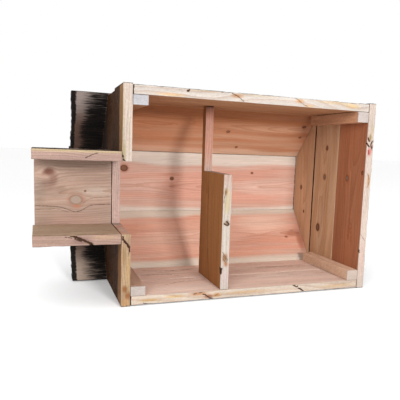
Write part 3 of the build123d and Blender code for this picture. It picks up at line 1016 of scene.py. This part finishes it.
board(
    "roof_right_board", "roof", roof_timber, 0, 1, 1, (184, 134, 114), (186, 172, 158), 73,
    section=right_section, step=0.0034, pith=(0.58, 0.03), heart_radius=0.0770, banding=0.3,
    knots=[(0.707, 0.138, 0.005, None), (0.680, 0.114, 0.005, None)],
    tones=[
        ((0.707, 0.138), (0.010, 0.003), (126, 72, 52), 0.8),
        ((0.681, 0.114), (0.007, 0.004), (118, 66, 46), 0.8),
        ((0.705, 0.125), (0.030, 0.012), (150, 92, 68), 0.7),
        ((0.728, 0.100), (0.014, 0.040), (146, 90, 66), 0.7),
        ((0.605, 0.168), (0.120, 0.040), (206, 172, 154), 0.85),
        ((0.150, 0.150), (0.090, 0.040), (184, 130, 108), 0.5),
    ],
    char_faces=("outer", "low_end", "high_end", "low_edge", "high_seam"), lips=roof_lips,
    overhang=front_overhang, bleach=(147, 131, 119), worn=(0.001, 0.0),
)

# ------------------------------------------------------------------ the gables
# A board under each end of the roof. It closes the end and is screwed to all three roof boards.

gable_low, gable_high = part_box("rear_gable_board")
gable_length = gable_high.z - gable_low.z
right_run = right_high.z - gable_low.z
left_run = gable_high.z - left_low.z
gable_edge = ([0, right_run, gable_length - left_run, gable_length], [0, 1, 1, 0])
for name, outer, seed in (("front_gable_board", -1, 81), ("rear_gable_board", 1, 82)):
    board(
        name, "roof", wall_timber, 2, 1, outer, (186, 148, 116), (192, 158, 128), seed, step=0.0034,
        low=straight_edge, high=gable_edge, heart_radius=0.09, char_faces=("outer", "low_edge"),
        knots=[(0.225, 0.073, 0.006, 0.7), (0.147, 0.048, 0.004, 0.9)],
    )

# ------------------------------------------------------------------ the screws
# Countersunk steel wood screws with a six-lobed recess, sunk a little and blackened by the flame.

screw_metal = bpy.data.materials.new("blackened_steel")
screw_metal.use_nodes = True
metal_tree = screw_metal.node_tree
metal = metal_tree.nodes["Principled BSDF"]
metal.inputs["Metallic"].default_value = 1.0
scratches = add(metal_tree, "ShaderNodeTexNoise", in2=900.0, in3=3.0)
place = add(metal_tree, "ShaderNodeTexCoord")
metal_tree.links.new(place.outputs["Object"], scratches.inputs["Vector"])
metal_colour = blend_colour(
    metal_tree, scratches.outputs[0], (0.020, 0.018, 0.017, 1), (0.075, 0.066, 0.058, 1)
)
metal_tree.links.new(metal_colour, metal.inputs["Base Color"])
metal_rough = added(metal_tree, (scratches.outputs[0], 0.4), 0.35)
metal_tree.links.new(metal_rough, metal.inputs["Roughness"])


screw_room = 0.0095
shank_room = 0.004


def clumps(points, reach):
    """Middles of the clumps that points fall in: all that lie within reach of a first point."""
    middles = []
    while len(points):
        near = np.linalg.norm(points - points[0], axis=1) < reach
        middles.append((points[near].min(0) + points[near].max(0)) / 2)
        points = points[~near]
    return middles


def screw_skin(length):
    """One screw about Z, head up at zero. Its radius at a height is carried round a turn, and inside
    the recess the radius swells and shrinks six times. Ridges wind down the shank for the thread."""
    turn = np.linspace(0, 2 * np.pi, 30, endpoint=False)
    floor, lip, crown, rim, neck = -0.0016, -0.0001, 0, -0.0006, -0.0034
    middle, crown_radius, rim_radius, neck_radius = 0.0001, 0.0041, 0.0042, 0.0022
    lobes = 0.0015 + 0.00028 * np.cos(6 * turn)
    thread = np.arange(0.0045, length - 0.004, 0.0007)
    winding = 0.0019 + 0.0003 * (np.arange(len(thread)) % 2)
    heights = np.concatenate([[floor, floor, lip, crown, rim, neck], -thread, [-length]])
    head_radii = [middle, 0, 0, crown_radius, rim_radius, neck_radius]
    radii = np.concatenate([head_radii, winding, [middle]])
    rings = np.repeat(radii[:, None], len(turn), axis=1)
    rings[1] = lobes
    rings[2] = lobes * 1.06
    x, y = rings * np.cos(turn), rings * np.sin(turn)
    z = np.repeat(heights[:, None], len(turn), axis=1)
    points = np.stack([x, y, z], -1).reshape(-1, 3)
    number = np.arange(points.shape[0]).reshape(len(heights), len(turn))
    after = np.roll(number, -1, axis=1)
    faces = np.stack([number[:-1], number[1:], after[1:], after[:-1]], -1).reshape(-1, 4)
    return points, faces


def screws(node, body, axis):
    """A group of screws in the places of a CAD node's, all driven along one line, either way. The
    rim of a head stands wider than its shank, so it tells which end of each screw is the head."""
    axis = np.array(axis, float)
    corners = np.array([vertex.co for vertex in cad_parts[node].data.vertices])
    height = corners @ axis
    on_face = corners - height[:, None] * axis
    all_points, all_faces, count = [], [], 0
    for middle in clumps(on_face, screw_room):
        off = np.linalg.norm(on_face - middle, axis=1)
        own = height[off < screw_room]
        ends = np.array([own.min(), own.max()])
        rim = height[(off < screw_room) & (off > shank_room)].mean()
        head = ends[np.argmin(np.abs(ends - rim))]
        inwards = axis * np.sign(ends.mean() - head)
        side = np.cross(inwards, (0.3, 0.5, 0.8))
        side /= np.linalg.norm(side)
        turned = np.stack([side, np.cross(-inwards, side), -inwards])
        points, faces = screw_skin(ends[1] - ends[0])
        all_points.append(points @ turned + middle + head * axis)
        all_faces.append(faces + count)
        count += len(points)
    mesh = bpy.data.meshes.new(node + "_driven")
    mesh.from_pydata(np.concatenate(all_points), [], np.concatenate(all_faces))
    mesh.materials.append(screw_metal)
    piece = bpy.data.objects.new(node + "_driven", mesh)
    bpy.context.scene.collection.objects.link(piece)
    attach(piece, body)
    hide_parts(node)


screws("left_wall_screws", "house", (0, 0, -1))
screws("right_wall_screws", "house", (0, 0, 1))
screws("front_wall_screws", "house", (1, 0, 0))
screws("rear_wall_screws", "house", (-1, 0, 0))
screws("partition_screws", "house", (0, 0, 1))
screws("tunnel_end_screws", "house", (-1, 0, 0))
screws("tunnel_roof_screws", "house", (0, -1, 0))
screws("roof_ridge_screws", "roof", (0, -1, 0))
for side, section, sign in (("left", left_section, -1), ("right", right_section, 1)):
    run = np.array(section[1]) - np.array(section[0])
    run /= np.linalg.norm(run)
    screws(f"roof_{side}_screws", "roof", (0, -abs(run[1]), sign * abs(run[0])))
